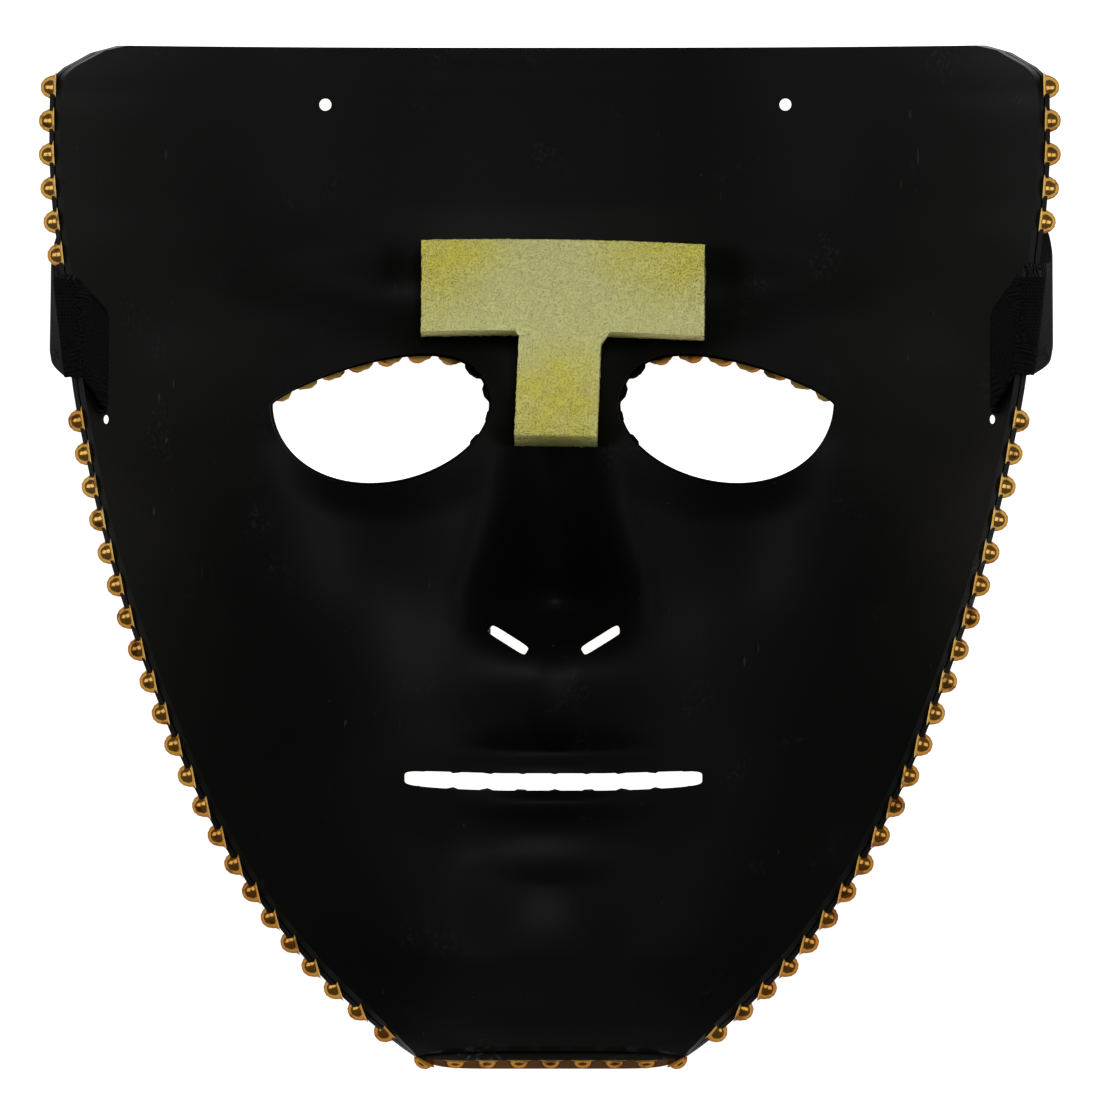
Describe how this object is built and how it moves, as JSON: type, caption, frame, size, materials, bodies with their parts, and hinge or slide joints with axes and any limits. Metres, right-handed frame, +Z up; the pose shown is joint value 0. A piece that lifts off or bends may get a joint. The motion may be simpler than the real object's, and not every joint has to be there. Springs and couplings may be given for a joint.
{
  "type": "studded full-face costume mask",
  "caption": "Full-face costume mask lying on its front: thin black shell, gold-studded cover, foam brow pad and a flat elastic through two temple slots.",
  "frame": {"origin": "middle of the mask's outline, on the floor that it lies on", "axes": "+Z up out of the hollow, +Y from the chin to the forehead, +X to the right of someone looking into the hollow"},
  "size_m": [0.189, 0.189, 0.0763],
  "materials": {
    "shell": "black moulded plastic, satin inside",
    "studs": "bright gold plated plastic studs on a black backing",
    "foam": "pale yellow-green open-cell foam",
    "elastic": "black woven elastic"
  },
  "bodies": {
    "root": {"mask_shell": "shell", "stud_cover": "studs", "foam_pad": "foam", "elastic_strap": "elastic"}
  },
  "joints": []
}
